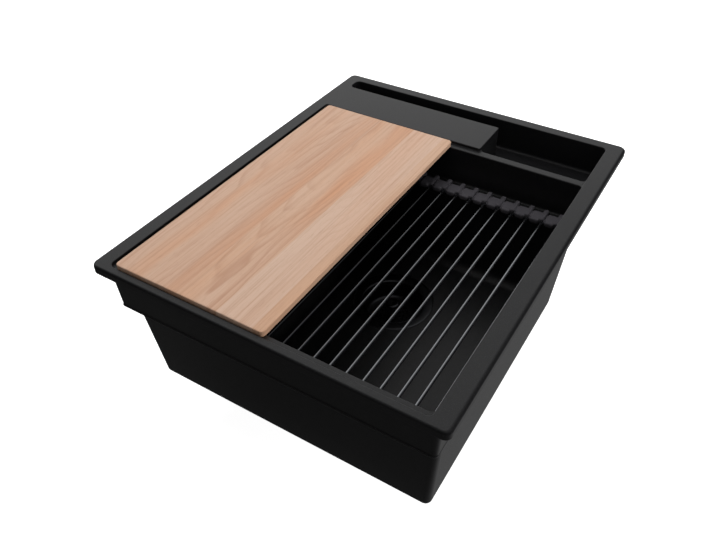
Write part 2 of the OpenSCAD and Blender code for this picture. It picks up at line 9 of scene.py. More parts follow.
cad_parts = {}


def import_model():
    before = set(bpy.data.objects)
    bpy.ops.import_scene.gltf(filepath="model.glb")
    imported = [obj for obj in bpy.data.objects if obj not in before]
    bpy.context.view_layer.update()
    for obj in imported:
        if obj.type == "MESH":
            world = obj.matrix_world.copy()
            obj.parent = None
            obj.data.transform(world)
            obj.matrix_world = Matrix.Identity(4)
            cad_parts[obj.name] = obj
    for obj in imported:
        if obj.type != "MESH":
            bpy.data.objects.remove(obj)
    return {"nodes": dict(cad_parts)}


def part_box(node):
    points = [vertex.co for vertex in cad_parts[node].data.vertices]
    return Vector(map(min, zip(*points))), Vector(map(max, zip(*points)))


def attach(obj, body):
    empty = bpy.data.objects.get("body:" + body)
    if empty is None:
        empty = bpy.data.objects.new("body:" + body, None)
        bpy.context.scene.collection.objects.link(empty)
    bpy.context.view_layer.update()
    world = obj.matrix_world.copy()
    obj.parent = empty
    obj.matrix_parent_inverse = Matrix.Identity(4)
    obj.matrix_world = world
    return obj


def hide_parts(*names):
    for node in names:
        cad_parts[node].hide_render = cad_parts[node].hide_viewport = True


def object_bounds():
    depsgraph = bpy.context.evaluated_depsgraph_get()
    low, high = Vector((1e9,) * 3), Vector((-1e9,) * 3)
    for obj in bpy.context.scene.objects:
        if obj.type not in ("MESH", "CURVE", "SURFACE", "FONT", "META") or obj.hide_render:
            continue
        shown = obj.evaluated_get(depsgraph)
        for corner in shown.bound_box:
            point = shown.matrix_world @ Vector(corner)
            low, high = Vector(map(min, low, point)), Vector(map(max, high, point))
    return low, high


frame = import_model()
cad_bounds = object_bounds()

MM = 0.001
UPRIGHT = Matrix.Identity(3)

# ---------------------------------------------------------------- sizes of the casting, mm
# Places are from the rim's front left corner and from the deck, X right, Y back, Z up.
rim_lo, rim_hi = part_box("sink_body")
RIM_W = (rim_hi.x - rim_lo.x) / MM
RIM_D = (rim_hi.y - rim_lo.y) / MM
RIM_T = rim_hi.z / MM
BASE_Z = rim_lo.z / MM - RIM_T
FLOOR_T = 8.0
FLOOR_Z = BASE_Z + FLOOR_T
BOWL_X0, BOWL_X1 = 18.9, RIM_W - 23.5        # sides of the recess, the bowl and the trough
BOWL_Y0, BOWL_Y1 = 18.2, 441.6
LEDGE_Y0 = 10.0                              # front of the board's front ledge
LEDGE_DROP = 4.0                             # the board's ledges lie this far below the deck
DECK_Y0, DECK_Y1 = 452.2, 520.8              # the tap deck
DECK_X1 = 271.7
TRAY_Y0 = 454.0                              # front of the trough's wide part
SLOT_Y1 = 543.7                              # back of the trough
TROUGH_DEPTH = 45.0
RACK_LEDGE_Z = -55.5
STEP_Z = RACK_LEDGE_Z - 8.0                  # the step outside, under the rack's ledge
UPPER_LEAN = 2.5                             # how far each upper wall leans in, down to its foot
LOWER_LEAN = (8.1, 9.8, 8.1, 8.1)            # the same of the lower ones: left, front, right, back
RACK_LEDGE = (21.6, 6.5, 0.0, 31.6)          # the ledge's width on the same four sides
WALLS = (7.5, 8.2, 11.0, 7.5)                # the walls' thickness on the same four sides
DRAIN_X, DRAIN_Y = 233.9, 284.2

# ---------------------------------------------------------------- allowances, mm
TINY = 0.05                                  # keeps two cut faces from lying in one plane
PAST = 0.02                                  # a rounded edge runs this far past the face it ends in
BITE = 1.0                                   # solids that are joined run this far into each other
LEAST_RADIUS = 0.05                          # least radius of an outline's corner
ONE_POINT = 0.002                            # points that lie this close in one mesh are merged


def place(x, y, z):
    """A point of the casting's own places, in the row frame, in metres."""
    return Vector(((x - RIM_W / 2) * MM, (y - RIM_D / 2) * MM, (z + RIM_T) * MM))


# ---------------------------------------------------------------- mesh helpers

def new_object(name, verts, faces):
    """A mesh object in the scene, from points in metres."""
    mesh = bpy.data.meshes.new(name)
    mesh.from_pydata([tuple(v) for v in verts], [], faces)
    mesh.update()
    obj = bpy.data.objects.new(name, mesh)
    bpy.context.scene.collection.objects.link(obj)
    return obj


def outline(points, radii, grow, steps):
    """Points of a rectilinear outline (anticlockwise) with round corners.

    grow moves each edge outwards: one number, or one for each edge that leaves a corner.
    """
    n = len(points)
    grows = [grow] * n if isinstance(grow, (int, float)) else list(grow)
    radii = [radii] * n if isinstance(radii, (int, float)) else list(radii)
    pts = [Vector(p) for p in points]
    out = []
    for i in range(n):
        d1 = (pts[i] - pts[i - 1]).normalized()
        d2 = (pts[(i + 1) % n] - pts[i]).normalized()
        n1 = Vector((d1.y, -d1.x))
        n2 = Vector((d2.y, -d2.x))
        corner = pts[i] + n1 * grows[i - 1] + n2 * grows[i]
        convex = d1.x * d2.y - d1.y * d2.x > 0
        mean = (grows[i - 1] + grows[i]) / 2
        r = max(LEAST_RADIUS, radii[i] + (mean if convex else -mean))
        centre = corner - d1 * r + d2 * r
        for k in range(steps + 1):
            a = math.pi / 2 * k / steps
            out.append(centre - d2 * (r * math.cos(a)) + d1 * (r * math.sin(a)))
    return out


def box_outline(x0, y0, x1, y1):
    """A rectangle's corners; its edges are the front, the right, the back and the left one."""
    return [(x0, y0), (x1, y0), (x1, y1), (x0, y1)]


def loft(name, loops, close_ends=True):
    """A closed solid through loops of equal length; each loop is a list of points in metres."""
    n = len(loops[0])
    verts = [p for loop in loops for p in loop]
    faces = []
    for k in range(len(loops) - 1):
        for i in range(n):
            j = (i + 1) % n
            faces.append((k * n + i, k * n + j, (k + 1) * n + j, (k + 1) * n + i))
    if close_ends:
        faces.append(tuple(reversed(range(n))))
        faces.append(tuple(range((len(loops) - 1) * n, len(loops) * n)))
    obj = new_object(name, verts, faces)
    fix_normals(obj)
    return obj


def fix_normals(obj):
    """Merges points that lie in one place and turns all faces outwards."""
    bm = bmesh.new()
    bm.from_mesh(obj.data)
    bmesh.ops.remove_doubles(bm, verts=bm.verts, dist=ONE_POINT * MM)
    bmesh.ops.recalc_face_normals(bm, faces=bm.faces)
    bm.to_mesh(obj.data)
    bm.free()


def rows_loft(name, rows, steps):
    """Loft through rows of (z, outline corners, corner radii, grow)."""
    loops = []
    for z, points, radii, grow in rows:
        loops.append([place(p.x, p.y, z) for p in outline(points, radii, grow, steps)])
    return loft(name, loops)


def stack(name, points, radii, levels, steps):
    """Loft of one outline through levels of (z, grow)."""
    return rows_loft(name, [(z, points, radii, grow) for z, grow in levels], steps)


def quarter(r, steps=4):
    """(height, run) pairs of a quarter round: from (0, 0), tangent to the vertical, to (r, r)."""
    return [(r * math.sin(math.pi / 2 * k / steps), r * (1 - math.cos(math.pi / 2 * k / steps)))
            for k in range(steps + 1)]


def boolean(obj, tool, operation):
    """Joins the tool to the object or cuts it out of it, and removes the tool."""
    mod = obj.modifiers.new("cut", "BOOLEAN")
    mod.operation = operation
    mod.solver = "EXACT"
    mod.object = tool
    apply_modifiers(obj)
    bpy.data.objects.remove(tool)


def apply_modifiers(obj):
    """Puts the mesh that the modifiers make in the place of the object's own."""
    deps = bpy.context.evaluated_depsgraph_get()
    deps.update()
    mesh = bpy.data.meshes.new_from_object(obj.evaluated_get(deps))
    obj.modifiers.clear()
    old = obj.data
    obj.data = mesh
    bpy.data.meshes.remove(old)


def clean(obj):
    """Merges the points and faces that cuts leave all but in one place or in one plane."""
    merge = 0.01 * MM
    flat = math.radians(0.05)
    bm = bmesh.new()
    bm.from_mesh(obj.data)
    bmesh.ops.remove_doubles(bm, verts=bm.verts, dist=merge)
    bmesh.ops.dissolve_degenerate(bm, edges=bm.edges, dist=merge)
    bmesh.ops.dissolve_limit(bm, verts=bm.verts, edges=bm.edges, angle_limit=flat)
    bm.to_mesh(obj.data)
    bm.free()


def soften(obj, angle_deg):
    """Smooth shading across gentle edges; large flat faces keep their own normals."""
    mesh = obj.data
    mesh.polygons.foreach_set("use_smooth", [True] * len(mesh.polygons))
    mesh.set_sharp_from_angle(angle=math.radians(angle_deg))
    mod = obj.modifiers.new("weight", "WEIGHTED_NORMAL")
    mod.keep_sharp = True
    mod.mode = "FACE_AREA"
    mod.weight = 100
    apply_modifiers(obj)


def lathe(name, profile, centre, steps, axis=UPRIGHT, close=True):
    """Turns a profile of (radius, height) in mm round an axis through centre.

    A closed profile runs round the section; an open one starts and ends on the axis.
    """
    verts = []
    n = len(profile)
    for k in range(steps):
        a = 2 * math.pi * k / steps
        for r, h in profile:
            verts.append(centre + axis @ Vector((r * math.cos(a), r * math.sin(a), h)) * MM)
    faces = []
    for k in range(steps):
        nxt = (k + 1) % steps
        for i in range(n if close else n - 1):
            j = (i + 1) % n
            faces.append((k * n + i, nxt * n + i, nxt * n + j, k * n + j))
    obj = new_object(name, verts, faces)
    fix_normals(obj)
    return obj


def cut_round(body, name, centre, radius, z0, z1, axis=UPRIGHT, steps=64):
    """Cuts a round hole of a radius in mm, from z0 to z1 mm along an axis through centre."""
    loops = []
    for z in (z0, z1):
        loops.append([centre + axis @ Vector((radius * math.cos(2 * math.pi * k / steps),
                                              radius * math.sin(2 * math.pi * k / steps), z)) * MM
                      for k in range(steps)])
    boolean(body, loft(name, loops), "DIFFERENCE")


def finish_piece(obj, node, body, material, angle_deg=38):
    """Shades a piece, gives it its material and puts it in the place of a CAD node."""
    soften(obj, angle_deg)
    dress(obj, material)
    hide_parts(node)
    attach(obj, body)


# ---------------------------------------------------------------- node material helpers

def srgb(r, g, b):
    """A display colour, 0 to 255, as linear RGBA."""
    def lin(c):
        c /= 255
        return c / 12.92 if c <= 0.04045 else ((c + 0.055) / 1.055) ** 2.4
    return (lin(r), lin(g), lin(b), 1.0)


def grey(value):
    """A plain number as a ramp's colour."""
    return (value, value, value, 1)


def times(colour, factor):
    """A colour made lighter or darker."""
    return tuple(factor * c for c in colour[:3]) + (1,)


class Nodes:
    """A material's or a world's nodes, and short ways to add and join them."""

    def __init__(self, name, block=None):
        self.mat = block or bpy.data.materials.new(name)
        self.mat.use_nodes = True
        self.tree = self.mat.node_tree
        self.shader = self.tree.nodes.get("Principled BSDF")

    def add(self, kind, **inputs):
        """A node with some of its settings or inputs; _ stands for a space in an input's name."""
        node = self.tree.nodes.new(kind)
        for key, value in inputs.items():
            if hasattr(node, key):
                setattr(node, key, value)
            else:
                node.inputs[key.replace("_", " ")].default_value = value
        return node

    def link(self, a, b):
        self.tree.links.new(a, b)

    def feed(self, socket, value):
        """Sets an input to a plain value, or links an output to it."""
        if isinstance(value, (int, float, tuple)):
            socket.default_value = value
        else:
            self.link(value, socket)

    def coords(self, scale=(1, 1, 1)):
        mapping = self.add("ShaderNodeMapping", Scale=scale)
        self.link(self.add("ShaderNodeTexCoord").outputs["Object"], mapping.inputs["Vector"])
        return mapping.outputs["Vector"]

    def noise(self, vector, scale, detail, rough=0.5, distort=0.0):
        node = self.add("ShaderNodeTexNoise", Scale=scale, Detail=detail, Roughness=rough,
                        Distortion=distort)
        self.link(vector, node.inputs["Vector"])
        return node.outputs["Fac"]

    def ramp(self, fac, stops):
        """A colour ramp through stops of (position, colour)."""
        node = self.add("ShaderNodeValToRGB")
        ramp = node.color_ramp
        while len(ramp.elements) < len(stops):
            ramp.elements.new(0.5)
        for element, (pos, colour) in zip(ramp.elements, stops):
            element.position = pos
            element.color = colour
        self.link(fac, node.inputs["Fac"])
        return node.outputs["Color"]

    def math(self, operation, a, b):
        node = self.add("ShaderNodeMath", operation=operation)
        for socket, value in zip(node.inputs, (a, b)):
            self.feed(socket, value)
        return node.outputs[0]

    def map_range(self, fac, lo, hi, from_lo=0.0, from_hi=1.0):
        """Takes from_lo to lo and from_hi to hi, and holds the ends."""
        node = self.add("ShaderNodeMapRange", From_Min=from_lo, From_Max=from_hi, To_Min=lo,
                        To_Max=hi)
        self.link(fac, node.inputs["Value"])
        return node.outputs["Result"]

    def mix(self, fac, a, b):
        """Colour a where fac is 0 and b where it is 1."""
        node = self.add("ShaderNodeMix", data_type="RGBA")
        for socket, value in ((node.inputs[0], fac), (node.inputs[6], a), (node.inputs[7], b)):
            self.feed(socket, value)
        return node.outputs[2]

    def bump(self, height, strength, distance, normal=None):
        """A normal bent by a height; distance is in mm."""
        node = self.add("ShaderNodeBump", Strength=strength, Distance=distance * MM)
        self.link(height, node.inputs["Height"])
        if normal is not None:
            self.link(normal, node.inputs["Normal"])
        return node.outputs["Normal"]

    def set(self, **values):
        """Gives the shader's inputs their values; _ stands for a space in a name."""
        for key, value in values.items():
            self.feed(self.shader.inputs[key.replace("_", " ")], value)


def composite_material():
    """Black quartz and resin composite: a fine matt grain with sparse paler specks."""
    m = Nodes("black_composite")
    v = m.coords()
    cloud = m.noise(v, 9, 3)
    grain = m.noise(v, 900, 2, 0.6)
    speck = m.noise(v, 2600, 1)
    base = m.ramp(cloud, [(0.3, srgb(16, 16, 17)), (0.7, srgb(20, 20, 21))])
    specks = m.map_range(speck, 0.0, 1.0, 0.62, 0.75)
    colour = m.mix(specks, base, srgb(58, 58, 60))
    rough = m.map_range(grain, 0.34, 0.44, 0.3, 0.7)
    m.set(Base_Color=colour, Roughness=rough, Specular_IOR_Level=0.5,
          Normal=m.bump(grain, 0.1, 0.15))
    return m.mat


def wood_material():
    """Four glued staves of oiled beech. Growth rings cut flat give arches in the middle of a stave
    and straight dense lines at its edge; the grain runs front to back."""
    m = Nodes("oiled_beech_board")
    places = m.add("ShaderNodeTexCoord").outputs["Object"]
    split = m.add("ShaderNodeSeparateXYZ")
    m.link(places, split.inputs["Vector"])
    across = m.map_range(split.outputs["X"], 0, 1, BOARD_X0, BOARD_X1)
    glue_lines = (0.0, 0.451, 0.708, 0.937)

    def by_stave(values):
        """One number or colour for each stave, from left to right."""
        stops = [(at, v if isinstance(v, tuple) else grey(v)) for at, v in zip(glue_lines, values)]
        out = m.ramp(across, stops)
        out.node.color_ramp.interpolation = "CONSTANT"
        return out

    def stretched(scale, shift):
        """Noise places squeezed along the grain, moved on from stave to stave."""
        move = m.add("ShaderNodeVectorMath", operation="MULTIPLY_ADD")
        m.link(by_stave((0.1, 0.55, 0.3, 0.9)), move.inputs[0])
        move.inputs[1].default_value = (shift, 2.3 * shift, 0.0)
        m.link(places, move.inputs[2])
        node = m.add("ShaderNodeMapping", Scale=scale)
        m.link(move.outputs["Vector"], node.inputs["Vector"])
        return node.outputs["Vector"]

    # Rings: a parabola about the stave's heart, drawn out along the grain and bent by noise
    hearts = by_stave((0.17, 0.52, 0.6, 0.66))
    off = m.math("MULTIPLY", m.math("SUBTRACT", across, hearts), 10.0)
    steep = m.math("MULTIPLY", by_stave((0.85, 0.95, 0.55, 0.85)), m.math("MULTIPLY", off, off))
    bend = m.noise(stretched((13, 2.6, 13), 3.1), 1.0, 3, 0.55, 0.35)
    rings = m.math("ADD", steep, m.math("MULTIPLY", bend, 6.5))
    rings = m.math("ADD", rings, m.math("MULTIPLY", split.outputs["Y"], -9.0))
    late = m.ramp(m.math("FRACT", rings, 0.0), [(0.0, grey(0.1)), (0.5, grey(0.2)), (0.88, grey(1)),
                                                (1.0, grey(0.1))])
    patch = m.map_range(m.noise(stretched((30, 3.5, 30), 5.7), 1.0, 2), 0.1, 1.0, 0.35, 0.65)
    line = m.math("MULTIPLY", m.math("MULTIPLY", late, patch), by_stave((0.42, 0.55, 0.24, 0.4)))
    fine = m.noise(stretched((330, 4, 330), 1.3), 1.0, 3, 0.6)
    fleck = m.noise(stretched((1000, 75, 1000), 2.9), 1.0, 2, 0.6)
    broad = m.noise(stretched((22, 2.0, 22), 7.7), 1.0, 3, 0.6, 0.5)

    tone = by_stave((srgb(205, 172, 149), srgb(207, 172, 147), srgb(208, 178, 157),
                     srgb(203, 169, 143)))
    # Each stave is warmer towards its right side; the numbers are (place across, warmth)
    warm_side = m.ramp(across, [(at, grey(warmth)) for at, warmth in (
        (0.0, 0.35), (0.06, 0.1), (0.24, 0.25), (0.44, 0.85),
        (0.452, 0.1), (0.6, 0.4), (0.69, 0.8),
        (0.709, 0.05), (0.93, 0.15),
        (0.938, 0.4), (1.0, 0.3))])
    tone = m.mix(m.math("MULTIPLY", warm_side, 0.55), tone, srgb(191, 146, 118))
    warm = m.math("MULTIPLY", m.map_range(broad, 0.0, 1.0, 0.47, 0.72),
                  by_stave((0.45, 0.75, 0.2, 0.5)))
    tone = m.mix(warm, tone, srgb(207, 149, 110))
    tone = m.mix(m.map_range(broad, 0.5, 0.0, 0.28, 0.47), tone, srgb(214, 186, 166))
    tone = m.mix(line, tone, srgb(168, 119, 90))
    tone = m.mix(m.map_range(fine, 0.0, 0.4, 0.48, 0.72), tone, srgb(170, 126, 98))
    tone = m.mix(m.map_range(fleck, 0.0, 0.3, 0.56, 0.8), tone, srgb(150, 108, 84))
    m.set(Base_Color=tone, Roughness=m.map_range(fine, 0.44, 0.6), Specular_IOR_Level=0.3,
          Normal=m.bump(fine, 0.3, 0.12, m.bump(fleck, 0.2, 0.1)))
    return m.mat


def steel_material(name, colour, rough, line_scale=(60, 60, 2400), strength=0.12):
    """Brushed steel; the brushing runs along the axes with the smaller scales."""
    m = Nodes(name)
    lines = m.noise(m.coords(line_scale), 1.0, 3, 0.6)
    stain = m.noise(m.coords(), 40, 3)
    base = m.mix(m.map_range(stain, 0.0, 0.35, 0.4, 0.7), colour, times(colour, 0.8))
    m.set(Base_Color=base, Metallic=1.0, Roughness=m.map_range(lines, rough - 0.06, rough + 0.1),
          Normal=m.bump(lines, strength, 0.05))
    return m.mat


def rubber_material(name, colour, rough=0.7):
    """Matt rubber or silicone, a little paler in clouds."""
    m = Nodes(name)
    v = m.coords()
    cloud = m.noise(v, 60, 3)
    grain = m.noise(v, 1800, 2, 0.6)
    m.set(Base_Color=m.mix(m.map_range(cloud, 0.0, 0.5), colour, times(colour, 1.25)),
          Roughness=m.map_range(grain, rough - 0.06, rough + 0.06),
          Specular_IOR_Level=0.3, Normal=m.bump(grain, 0.2, 0.08))
    return m.mat


def plastic_material(name, colour, rough=0.45):
    """Moulded plastic with a finer skin than rubber."""
    m = Nodes(name)
    v = m.coords()
    cloud = m.noise(v, 25, 3)
    grain = m.noise(v, 1200, 2)
    m.set(Base_Color=m.mix(m.map_range(cloud, 0.0, 0.4), colour, times(colour, 1.3)),
          Roughness=m.map_range(grain, rough - 0.05, rough + 0.08),
          Specular_IOR_Level=0.4, Normal=m.bump(grain, 0.15, 0.05))
    return m.mat


def brass_material():
    """Brass with fine turning lines round its axis."""
    m = Nodes("turned_brass")
    lines = m.noise(m.coords((40, 40, 3000)), 1.0, 2)
    m.set(Base_Color=m.mix(m.map_range(lines, 0.0, 1.0), srgb(176, 141, 74), srgb(196, 160, 92)),
          Metallic=1.0, Roughness=m.map_range(lines, 0.3, 0.45), Normal=m.bump(lines, 0.2, 0.05))
    return m.mat


def dress(obj, material):
    """Gives an object this one material."""
    obj.data.materials.clear()
    obj.data.materials.append(material)


# ---------------------------------------------------------------- sink body

def lower_edges(z, extra=(0, 0, 0, 0)):
    """Left, front, right and back of the lower cavity at height z, moved out by extra."""
    t = (RACK_LEDGE_Z - z) / (RACK_LEDGE_Z - FLOOR_Z)
    x0 = BOWL_X0 + UPPER_LEAN + RACK_LEDGE[0] + LOWER_LEAN[0] * t - extra[0]
    y0 = BOWL_Y0 + UPPER_LEAN + RACK_LEDGE[1] + LOWER_LEAN[1] * t - extra[1]
    x1 = BOWL_X1 - UPPER_LEAN - RACK_LEDGE[2] - LOWER_LEAN[2] * t + extra[2]
    y1 = BOWL_Y1 - UPPER_LEAN - RACK_LEDGE[3] - LOWER_LEAN[3] * t + extra[3]
    return box_outline(x0, y0, x1, y1)


def sink_outside():
    """The casting as a solid block: the rim, two storeys of walls and the trough."""
    corner = 8.0
    rim_round = 3.5                           # height of the rounding of the rim's upper edge
    reach = (3.0, 4.6, 0.8, 0.8)              # how far in it runs: front, right, back, left
    rim_under = 0.8                           # rounding of the rim's lower edge
    body = stack("sink_shell", box_outline(0, 0, RIM_W, RIM_D), corner,
                 [(-RIM_T + rim_under - h, -d) for h, d in reversed(quarter(rim_under))]
                 + [(-rim_round + h, tuple(-d / rim_round * k for k in reach))
                    for h, d in quarter(rim_round, 8)], 10)

    # Upper walls, with the casting's parting line as a fine bead just above the step's edge.
    # Each tuple is for the front, the right, the back and the left.
    upper = box_outline(BOWL_X0 - WALLS[0], BOWL_Y0 - WALLS[1],
                        BOWL_X1 + WALLS[2], BOWL_Y1 + WALLS[3])
    edge = 2.0
    edge_z = STEP_Z + edge
    bead_top, bead_face = 1.2, 0.8            # heights above edge_z
    bead = (1.1, 0.3, 0.5, 0.5)               # how far it stands proud of the wall
    lean = (-2.35, -2.35, -2.35, -8.3)        # how far the walls lean in, down to the bead
    top_in = (0, 0, 0, -3.0)                  # and how far in they start

    def beaded(share, less=0.0):
        return tuple(a + share * b - less for a, b in zip(lean, bead))

    rows = [(-RIM_T + BITE, upper, corner, top_in),
            (edge_z + bead_top, upper, corner, lean),
            (edge_z + bead_face, upper, corner, beaded(0.9))]
    rows += [(edge_z - h, upper, corner, beaded(1.0, d)) for h, d in quarter(edge)]
    boolean(body, rows_loft("upper", rows, 10), "UNION")

    # Lower walls, down to a round foot. The left one stands further out at its top.
    top_z = STEP_Z + 2 * BITE
    left_top_out, left_foot_in = 4.0, 0.4
    foot = 4.0
    rows = [(top_z, lower_edges(top_z, WALLS), corner, (0, 0, 0, left_top_out))]
    for h, d in quarter(foot, 6):
        z = BASE_Z + foot - h
        rows.append((z, lower_edges(z, WALLS), corner, (-d, -d, -d, -d - left_foot_in)))
    boolean(body, rows_loft("lower", rows, 10), "UNION")

    # The trough's walls, from inside the bowl backwards
    trough = box_outline(BOWL_X0 - WALLS[0], BOWL_Y1 - 10, BOWL_X1 + WALLS[2], SLOT_Y1 + WALLS[3])
    foot = 4.0
    foot_z = -TROUGH_DEPTH - WALLS[3] + foot
    rows = [(-RIM_T + BITE, trough, corner, 0.0), (foot_z, trough, corner, -UPPER_LEAN * 0.9)]
    rows += [(foot_z - h, trough, corner, -UPPER_LEAN - d) for h, d in quarter(foot)[1:]]
    boolean(body, rows_loft("trough", rows, 10), "UNION")
    return body


def cut_work_area(body):
    """From the deck down to the board's ledges: one opening round three sides of the tap deck."""
    points = [(BOWL_X0, LEDGE_Y0), (BOWL_X1, LEDGE_Y0), (BOWL_X1, SLOT_Y1), (BOWL_X0, SLOT_Y1),
              (BOWL_X0, DECK_Y1), (DECK_X1, DECK_Y1), (DECK_X1, DECK_Y0), (BOWL_X0, DECK_Y0)]
    radii = [8, 5, 7, 7, 7, 3.2, 2.6, 2.2]
    edge, foot = 1.2, 0.8
    tool_top = 2.0
    levels = [(-LEDGE_DROP + foot - h, -d) for h, d in reversed(quarter(foot))]
    levels += [(-edge + h + PAST, d) for h, d in quarter(edge)]
    levels += [(tool_top, edge)]
    boolean(body, stack("work_area", points, radii, levels, 8), "DIFFERENCE")


def cut_bowl(body):
    """The bowl, down to the rack's ledge and from there down to its floor."""
    upper = box_outline(BOWL_X0 + TINY, BOWL_Y0, BOWL_X1 - TINY, BOWL_Y1)
    edge, foot = 1.6, 4.0
    top_corner, foot_corner = 6, 8
    tool_top = -LEDGE_DROP + 2.5
    rows = [(RACK_LEDGE_Z + foot - h, upper, foot_corner, -UPPER_LEAN - d)
            for h, d in reversed(quarter(foot))]
    rows += [(-LEDGE_DROP - edge + h + PAST, upper, top_corner, (d, 0, d, 0))
             for h, d in quarter(edge)]
    rows += [(tool_top, upper, top_corner, (edge, 0, edge, 0))]
    boolean(body, rows_loft("bowl_top", rows, 8), "DIFFERENCE")

    corner = 14.0
    lip, foot = 3.0, 14.0
    rows = []
    for h, d in reversed(quarter(foot, 8)):
        z = FLOOR_Z + foot - h
        rows.append((z, lower_edges(z), corner, -d))
    for h, d in quarter(lip):
        z = RACK_LEDGE_Z - lip + h
        rows.append((z + PAST, lower_edges(z), corner, (d, -TINY, d, d)))
    rows.append((RACK_LEDGE_Z + lip, lower_edges(RACK_LEDGE_Z), corner, (lip, -TINY, lip, lip)))
    boolean(body, rows_loft("bowl_low", rows, 10), "DIFFERENCE")


def cut_trough(body):
    """The trough: a tray at the right that narrows to a slot behind the tap deck."""
    points = [(DECK_X1 + TINY, TRAY_Y0), (BOWL_X1 - TINY, TRAY_Y0),
              (BOWL_X1 - TINY, SLOT_Y1 - TINY), (BOWL_X0 + TINY, SLOT_Y1 - TINY),
              (BOWL_X0 + TINY, DECK_Y1 + TINY), (DECK_X1 + TINY, DECK_Y1 + TINY)]
    radii = [6, 7, 7, 7, 7, 3.2]
    edge, foot = 1.6, 5.0
    tool_top = -LEDGE_DROP + 2.5
    levels = [(-TROUGH_DEPTH + foot - h, -d) for h, d in reversed(quarter(foot, 5))]
    levels += [(-LEDGE_DROP - edge + h + PAST, (d, 0, 0, 0, 0, 0)) for h, d in quarter(edge)]
    levels += [(tool_top, (edge, 0, 0, 0, 0, 0))]
    boolean(body, stack("trough_cut", points, radii, levels, 8), "DIFFERENCE")


def cut_underside(body):
    """The hollow under the tap deck, open from below."""
    hollow = box_outline(BOWL_X0, BOWL_Y1 + WALLS[3], DECK_X1 - WALLS[3], DECK_Y1 - WALLS[3])
    corner, ceiling_round = 7.0, 4.0
    rows = [(BASE_Z, hollow, corner, 0.0)]
    rows += [(-RIM_T - ceiling_round + h, hollow, corner, -d) for h, d in quarter(ceiling_round)]
    boolean(body, rows_loft("hollow", rows, 6), "DIFFERENCE")


HOUSING_FLANGE_R = 28.0
OVERFLOW_X = 119.9
OVERFLOW_Z = STEP_Z - HOUSING_FLANGE_R - 4.0
OVERFLOW_Y = lower_edges(OVERFLOW_Z, WALLS)[2][1]
WALL_LEAN = math.atan2(LOWER_LEAN[3], RACK_LEDGE_Z - FLOOR_Z)
# Turns local +Z to the overflow's axis, out of the bowl
OVERFLOW_AXIS = Matrix.Rotation(-WALL_LEAN, 3, "X") @ Matrix.Rotation(-math.pi / 2, 3, "X")
OVERFLOW_AT = place(OVERFLOW_X, OVERFLOW_Y, OVERFLOW_Z)
WALL_ACROSS = WALLS[3] * math.cos(WALL_LEAN)     # the back wall's thickness along that axis
DRAIN_AT = place(DRAIN_X, DRAIN_Y, FLOOR_Z)


def sink_shell():
    """The casting: its outside, less the openings and the round holes."""
    drain_hole_r, drain_seat_r, drain_seat_depth = 45.0, 57.0, 2.5
    overflow_hole_r = 16.0
    tap_hole_r, tap_hole_depth = 17.5, 8.5
    body = sink_outside()
    cut_work_area(body)
    cut_bowl(body)
    cut_trough(body)
    cut_underside(body)
    # Each of these starts and ends a little past the faces that it opens
    cut_round(body, "drain_hole", DRAIN_AT, drain_hole_r, -FLOOR_T - 4, 4)
    cut_round(body, "drain_seat", DRAIN_AT, drain_seat_r, -drain_seat_depth, 4, steps=96)
    cut_round(body, "overflow_hole", OVERFLOW_AT, overflow_hole_r, -WALL_ACROSS - 3, 3,
              OVERFLOW_AXIS)
    tap_at = place(BOWL_X0 + 126, (DECK_Y0 + DECK_Y1) / 2, -RIM_T)
    cut_round(body, "tap_hole", tap_at, tap_hole_r, -1, tap_hole_depth)
    clean(body)
    soften(body, 32)
    dress(body, composite_material())
    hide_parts("sink_body")
    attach(body, "sink")


# ---------------------------------------------------------------- board

board_lo, board_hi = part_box("cutting_board")
BOARD_X0, BOARD_X1 = board_lo.x, board_hi.x


def cutting_board():
    """The board, with rounded corners and edges."""
    corner, top_edge, low_edge = 5, 1.3, 1.0
    x0, x1 = (x / MM + RIM_W / 2 for x in (board_lo.x, board_hi.x))
    y0, y1 = (y / MM + RIM_D / 2 for y in (board_lo.y, board_hi.y))
    z0, z1 = (z / MM - RIM_T for z in (board_lo.z, board_hi.z))
    levels = [(z0 + low_edge - h, -d) for h, d in reversed(quarter(low_edge))]
    levels += [(z1 - top_edge + h, -d) for h, d in quarter(top_edge, 5)]
    board = stack("board", box_outline(x0, y0, x1, y1), corner, levels, 10)
    soften(board, 35)
    dress(board, wood_material())
    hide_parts("cutting_board")
    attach(board, "board")


# ---------------------------------------------------------------- rack

ROD_PITCH = 20.4
ROD_COUNT = 19
rods_lo, rods_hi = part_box("rack_rods")
ROD_R = (rods_hi.z - rods_lo.z) / 2
LAST_ROD_X = rods_hi.x / MM - ROD_R / MM


